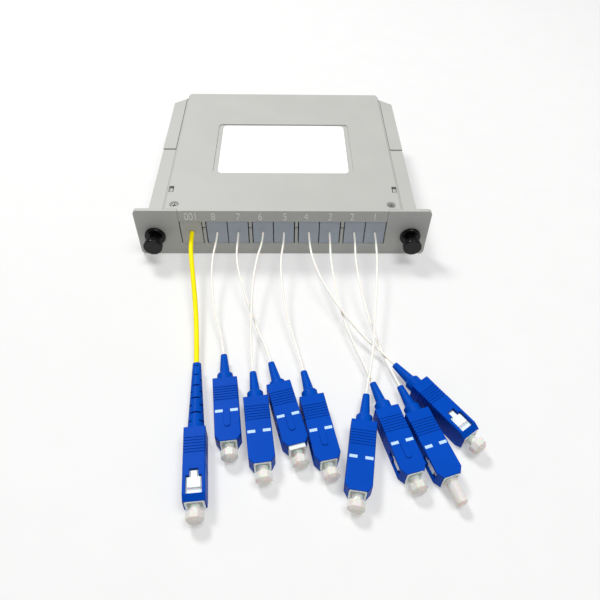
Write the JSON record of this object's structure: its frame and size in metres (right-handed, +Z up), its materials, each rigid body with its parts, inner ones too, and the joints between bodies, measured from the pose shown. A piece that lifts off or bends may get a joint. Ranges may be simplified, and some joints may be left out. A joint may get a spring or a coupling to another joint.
{
  "type": "plc fibre splitter cassette",
  "caption": "Flat plug-in cassette that splits one optical fibre into several capped push-pull leads, with wings, ported panel and plunger latches.",
  "frame": {"origin": "on the underside, at mid width, in the plane of the panel's rear face where its ears seat on the frame", "axes": "+X to the right along the panel, +Y back into the cassette (the way it is pushed in), +Z up; the leads lie in front, towards -Y"},
  "size_m": [0.1346, 0.2254, 0.025],
  "materials": {
    "grey_plastic": "fine satin moulding",
    "grey_blue_plastic": "satin moulding",
    "black_plastic": "glossy",
    "blue_plastic": "semi-gloss",
    "white_plastic": "semi-gloss",
    "clear_plastic": "milky, translucent",
    "blue_rubber": "soft satin",
    "white_jacket": "smooth cord jacket",
    "yellow_jacket": "smooth cord jacket",
    "label_paper": "smooth label stock",
    "white_ceramic": "polished zirconia",
    "steel": "zinc-plated",
    "chip_metal": "bare tube",
    "bare_fibre": "coated fibre"
  },
  "bodies": {
    "cassette": {"base_tray": "grey_plastic", "top_cover": "grey_plastic", "label": "label_paper", "cover_screws": "steel", "splitter_chip": "chip_metal", "fibre_coil": "bare_fibre", "input_port_plug": "grey_plastic", "output_port_plugs": "grey_blue_plastic", "latch_grommet_left": "black_plastic", "latch_grommet_right": "black_plastic", "input_cord": "yellow_jacket", "input_boot": "blue_rubber", "input_housing": "white_plastic", "output_1_cord": "white_jacket", "output_1_boot": "blue_rubber", "output_1_housing": "white_plastic", "output_2_cord": "white_jacket", "output_2_boot": "blue_rubber", "output_2_housing": "white_plastic", "output_3_cord": "white_jacket", "output_3_boot": "blue_rubber", "output_3_housing": "white_plastic", "output_4_cord": "white_jacket", "output_4_boot": "blue_rubber", "output_4_housing": "white_plastic", "output_5_cord": "white_jacket", "output_5_boot": "blue_rubber", "output_5_housing": "white_plastic", "output_6_cord": "white_jacket", "output_6_boot": "blue_rubber", "output_6_housing": "white_plastic", "output_7_cord": "white_jacket", "output_7_boot": "blue_rubber", "output_7_housing": "white_plastic", "output_8_cord": "white_jacket", "output_8_boot": "blue_rubber", "output_8_housing": "white_plastic", "ferrules": "white_ceramic"},
    "latch_plunger_left": {"latch_plunger_left": "black_plastic"},
    "latch_plunger_right": {"latch_plunger_right": "black_plastic"},
    "input_grip": {"input_grip": "blue_plastic"},
    "input_cap": {"input_cap": "clear_plastic"},
    "output_1_grip": {"output_1_grip": "blue_plastic"},
    "output_1_cap": {"output_1_cap": "clear_plastic"},
    "output_2_grip": {"output_2_grip": "blue_plastic"},
    "output_2_cap": {"output_2_cap": "clear_plastic"},
    "output_3_grip": {"output_3_grip": "blue_plastic"},
    "output_3_cap": {"output_3_cap": "clear_plastic"},
    "output_4_grip": {"output_4_grip": "blue_plastic"},
    "output_4_cap": {"output_4_cap": "clear_plastic"},
    "output_5_grip": {"output_5_grip": "blue_plastic"},
    "output_5_cap": {"output_5_cap": "clear_plastic"},
    "output_6_grip": {"output_6_grip": "blue_plastic"},
    "output_6_cap": {"output_6_cap": "clear_plastic"},
    "output_7_grip": {"output_7_grip": "blue_plastic"},
    "output_7_cap": {"output_7_cap": "clear_plastic"},
    "output_8_grip": {"output_8_grip": "blue_plastic"},
    "output_8_cap": {"output_8_cap": "clear_plastic"}
  },
  "joints": [
    {"name": "latch_plunger_left_slide", "type": "slide", "parent": "cassette", "child": "latch_plunger_left", "axis": [0, 1, 0], "range_m": [0, 0.0026]},
    {"name": "latch_plunger_right_slide", "type": "slide", "parent": "cassette", "child": "latch_plunger_right", "axis": [0, 1, 0], "range_m": [0, 0.0026]},
    {"name": "input_grip_slide", "type": "slide", "parent": "cassette", "child": "input_grip", "axis": [-0.0924, 0.9957, 0], "range_m": [0, 0.0012]},
    {"name": "input_cap_pull", "type": "slide", "parent": "cassette", "child": "input_cap", "axis": [0.0924, -0.9957, 0], "range_m": [0, 0.008]},
    {"name": "output_1_grip_slide", "type": "slide", "parent": "cassette", "child": "output_1_grip", "axis": [0.1702, 0.9854, 0], "range_m": [0, 0.0012]},
    {"name": "output_1_cap_pull", "type": "slide", "parent": "cassette", "child": "output_1_cap", "axis": [-0.1702, -0.9854, 0], "range_m": [0, 0.008]},
    {"name": "output_2_grip_slide", "type": "slide", "parent": "cassette", "child": "output_2_grip", "axis": [-0.3074, 0.9516, 0], "range_m": [0, 0.0012]},
    {"name": "output_2_cap_pull", "type": "slide", "parent": "cassette", "child": "output_2_cap", "axis": [0.3074, -0.9516, 0], "range_m": [0, 0.008]},
    {"name": "output_3_grip_slide", "type": "slide", "parent": "cassette", "child": "output_3_grip", "axis": [-0.2622, 0.965, 0], "range_m": [0, 0.0012]},
    {"name": "output_3_cap_pull", "type": "slide", "parent": "cassette", "child": "output_3_cap", "axis": [0.2622, -0.965, 0], "range_m": [0, 0.008]},
    {"name": "output_4_grip_slide", "type": "slide", "parent": "cassette", "child": "output_4_grip", "axis": [-0.5807, 0.8141, 0], "range_m": [0, 0.0012]},
    {"name": "output_4_cap_pull", "type": "slide", "parent": "cassette", "child": "output_4_cap", "axis": [0.5807, -0.8141, 0], "range_m": [0, 0.008]},
    {"name": "output_5_grip_slide", "type": "slide", "parent": "cassette", "child": "output_5_grip", "axis": [-0.1994, 0.9799, 0], "range_m": [0, 0.0012]},
    {"name": "output_5_cap_pull", "type": "slide", "parent": "cassette", "child": "output_5_cap", "axis": [0.1994, -0.9799, 0], "range_m": [0, 0.008]},
    {"name": "output_6_grip_slide", "type": "slide", "parent": "cassette", "child": "output_6_grip", "axis": [-0.1236, 0.9923, 0], "range_m": [0, 0.0012]},
    {"name": "output_6_cap_pull", "type": "slide", "parent": "cassette", "child": "output_6_cap", "axis": [0.1236, -0.9923, 0], "range_m": [0, 0.008]},
    {"name": "output_7_grip_slide", "type": "slide", "parent": "cassette", "child": "output_7_grip", "axis": [-0.2538, 0.9673, 0], "range_m": [-0.0012, 0]},
    {"name": "output_7_cap_pull", "type": "slide", "parent": "cassette", "child": "output_7_cap", "axis": [0.2538, -0.9673, 0], "range_m": [0, 0.008]},
    {"name": "output_8_grip_slide", "type": "slide", "parent": "cassette", "child": "output_8_grip", "axis": [-0.1167, 0.9932, 0], "range_m": [0, 0.0012]},
    {"name": "output_8_cap_pull", "type": "slide", "parent": "cassette", "child": "output_8_cap", "axis": [0.1167, -0.9932, 0], "range_m": [0, 0.008]}
  ]
}
